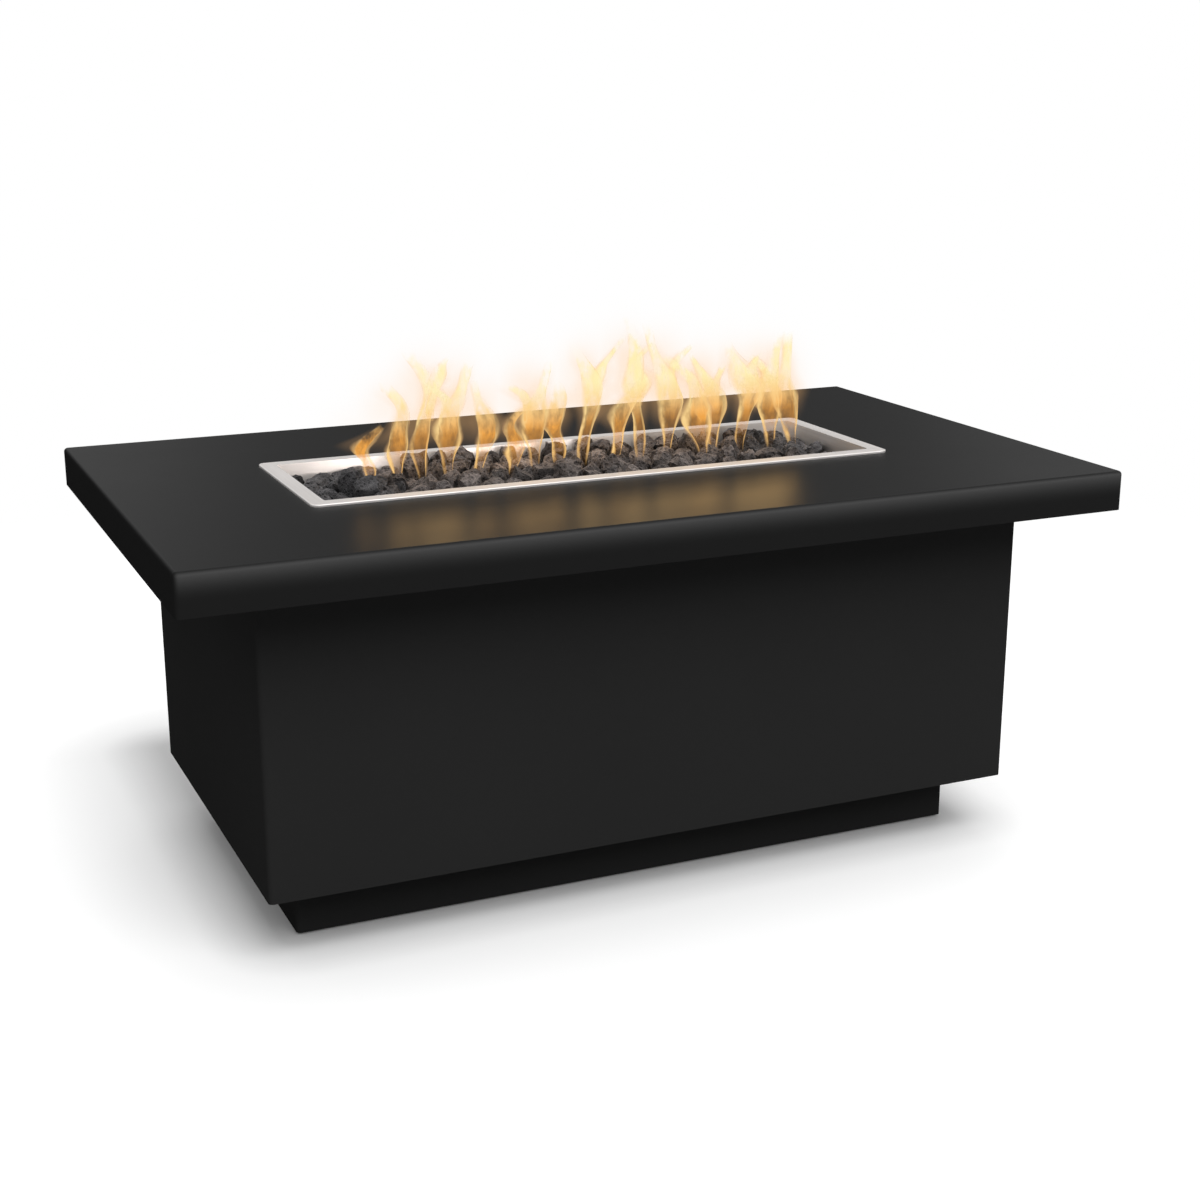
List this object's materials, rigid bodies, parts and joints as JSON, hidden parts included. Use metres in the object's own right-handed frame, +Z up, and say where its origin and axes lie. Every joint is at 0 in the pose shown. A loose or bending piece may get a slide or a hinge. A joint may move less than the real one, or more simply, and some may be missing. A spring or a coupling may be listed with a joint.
{
  "type": "gas fire pit table",
  "caption": "Low rectangular fire pit table: folded black metal top and box base on a recessed toe kick, with a stainless burner pan full of lava rock and gas controls.",
  "frame": {"origin": "floor level, under the middle of the table top", "axes": "+X along the length towards the end with the controls, +Y towards the door side, +Z up"},
  "size_m": [1.22, 0.711, 0.5179],
  "materials": {
    "black_coat": "satin black powder coat",
    "stainless": "brushed stainless",
    "zinc": "bright zinc plate",
    "galvanised": "dull galvanised sheet",
    "brass": "plain machined brass",
    "tube_alloy": "drawn tube",
    "black_plastic": "moulded black plastic",
    "rubber": "matte rubber",
    "lava": "rough porous charcoal stone",
    "ceramic": "glazed ceramic",
    "lead_cover": "red silicone cover",
    "magnet": "dark magnet in a steel clip"
  },
  "bodies": {
    "base": {"table_top": "black_coat", "base_wrap": "black_coat", "rear_panel": "black_coat", "base_deck": "black_coat", "toe_kick": "black_coat", "floor_glides": "rubber", "kick_bolts": "zinc", "kick_nuts": "zinc", "corner_posts": "black_coat", "long_rails": "black_coat", "end_rails": "black_coat", "cross_rails": "black_coat", "top_studs": "zinc", "top_nuts": "zinc", "rear_screws": "zinc", "door_frame": "black_coat", "magnet_catch": "magnet", "hinge_frame_leaves": "black_coat", "hinge_frame_rivets": "zinc", "hinge_pins": "zinc", "burner_pan": "stainless", "heat_shield": "galvanised", "shield_spacers": "zinc", "shield_studs": "zinc", "shield_nuts": "zinc", "burner_tube": "stainless", "burner_caps": "stainless", "burner_brackets": "stainless", "bulkhead_nipple": "brass", "bulkhead_nuts": "brass", "air_mixer": "brass", "burner_pipe": "tube_alloy", "feed_pipe": "tube_alloy", "gas_valve": "brass", "valve_bonnet": "brass", "valve_screws": "zinc", "control_plate": "stainless", "plate_screws": "zinc", "knob_bezel": "zinc", "igniter_body": "black_plastic", "igniter_bezel": "zinc", "spark_electrode": "ceramic", "ignition_lead": "lead_cover", "thermocouple": "brass", "lead_clips": "black_plastic", "inlet_nipple": "zinc", "inlet_locknuts": "zinc", "shutoff_body": "brass", "lava_rock_bed": "lava", "lava_rocks": "lava"},
    "door": {"access_door": "black_coat", "door_stiffener": "black_coat", "door_pull": "black_coat", "hinge_door_leaves": "black_coat", "hinge_door_rivets": "zinc"},
    "plug": {"valve_plug": "brass"},
    "knob": {"valve_spindle": "zinc", "gas_knob": "black_plastic"},
    "button": {"igniter_button": "black_plastic"},
    "lever": {"shutoff_lever": "zinc"}
  },
  "joints": [
    {"name": "door_swing", "type": "hinge", "parent": "base", "child": "door", "pos_m": [-0.211, 0.2773, 0.268], "axis": [0, 0, 1], "range_deg": [0, 110]},
    {"name": "valve_turn", "type": "hinge", "parent": "base", "child": "plug", "pos_m": [0.486, 0, 0.3005], "axis": [1, 0, 0], "range_deg": [-90, 90]},
    {"name": "knob_push", "type": "slide", "parent": "plug", "child": "knob", "axis": [-1, 0, 0], "range_m": [0, 0.004], "stiffness_N_per_m": 400, "springref_m": -0.002},
    {"name": "igniter_push", "type": "slide", "parent": "base", "child": "button", "axis": [-1, 0, 0], "range_m": [0, 0.005], "stiffness_N_per_m": 500, "springref_m": -0.002},
    {"name": "shutoff_turn", "type": "hinge", "parent": "base", "child": "lever", "pos_m": [0.2, 0.1183, 0.121], "axis": [0, 1, 0], "range_deg": [0, 90]}
  ]
}
